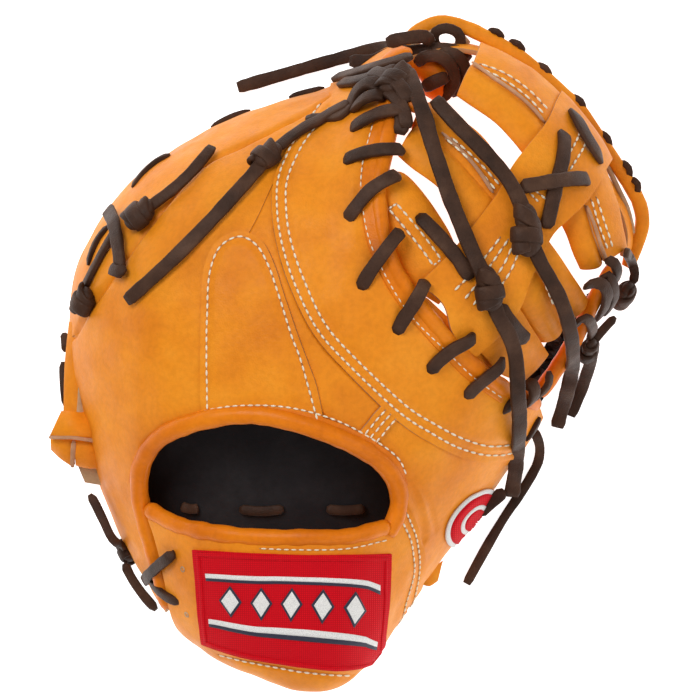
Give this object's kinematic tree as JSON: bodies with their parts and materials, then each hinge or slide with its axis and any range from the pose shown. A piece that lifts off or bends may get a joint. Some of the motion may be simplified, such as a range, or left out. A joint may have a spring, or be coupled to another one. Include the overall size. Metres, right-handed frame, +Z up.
{
  "type": "first baseman mitt",
  "caption": "Leather first baseman's mitt lying palm down, with laced web, padded palm, open back and wrist strap",
  "frame": {"origin": "on the floor, under the middle of the mitt, which lies palm down", "axes": "+X towards the thumb side, +Y towards the fingers, +Z up from the palm to the back of the hand"},
  "size_m": [0.2736, 0.305, 0.1115],
  "materials": {
    "leather": "smooth tan leather",
    "binding": "smooth rolled leather, deeper orange",
    "lace": "dull dark brown rawhide",
    "lining": "dull near-black lining",
    "suede": "rough suede side of the leather",
    "label": "woven red fabric"
  },
  "bodies": {
    "root": {"center_tongue_panel": "leather", "cross_lace_1": "lace", "cross_lace_2": "lace", "edge_lace_1": "lace", "edge_lace_2": "lace", "edge_lace_3": "lace", "edge_lace_4": "lace", "edge_lace_5": "lace", "edge_lace_6": "lace", "edge_lace_7": "lace", "finger_back_panel": "leather", "finger_rim": "leather", "floor_tail": "lace", "heel_knot": "lace", "long_lace_left_lower": "lace", "long_lace_left_upper": "lace", "long_lace_right_lower": "lace", "long_lace_right_upper": "lace", "opening_binding": "binding", "palm_lining": "lining", "palm_shell": "leather", "pinky_strap": "leather", "pinky_strap_knot": "suede", "rim_knot_a": "lace", "rim_knot_b": "lace", "rim_knot_c": "lace", "rim_tail_long": "lace", "rim_tail_short": "lace", "round_patch": "label", "strap_label": "label", "strap_top_roll": "binding", "throat_wall": "leather", "thumb_back_panel": "leather", "thumb_edge_binding": "binding", "thumb_knot_lower": "lace", "thumb_knot_upper": "lace", "thumb_tail": "lace", "top_tail": "lace", "u_edge_binding": "binding", "web_band": "leather", "web_bar_lower": "leather", "web_bar_lower_outer": "leather", "web_bar_upper": "leather", "web_bar_upper_outer": "leather", "web_base_flap": "leather", "web_knot_left": "lace", "web_knot_right": "lace", "web_post": "leather", "web_rim": "leather", "web_side_panel": "leather", "web_top_knot": "lace", "wrist_strap": "leather"}
  },
  "joints": []
}
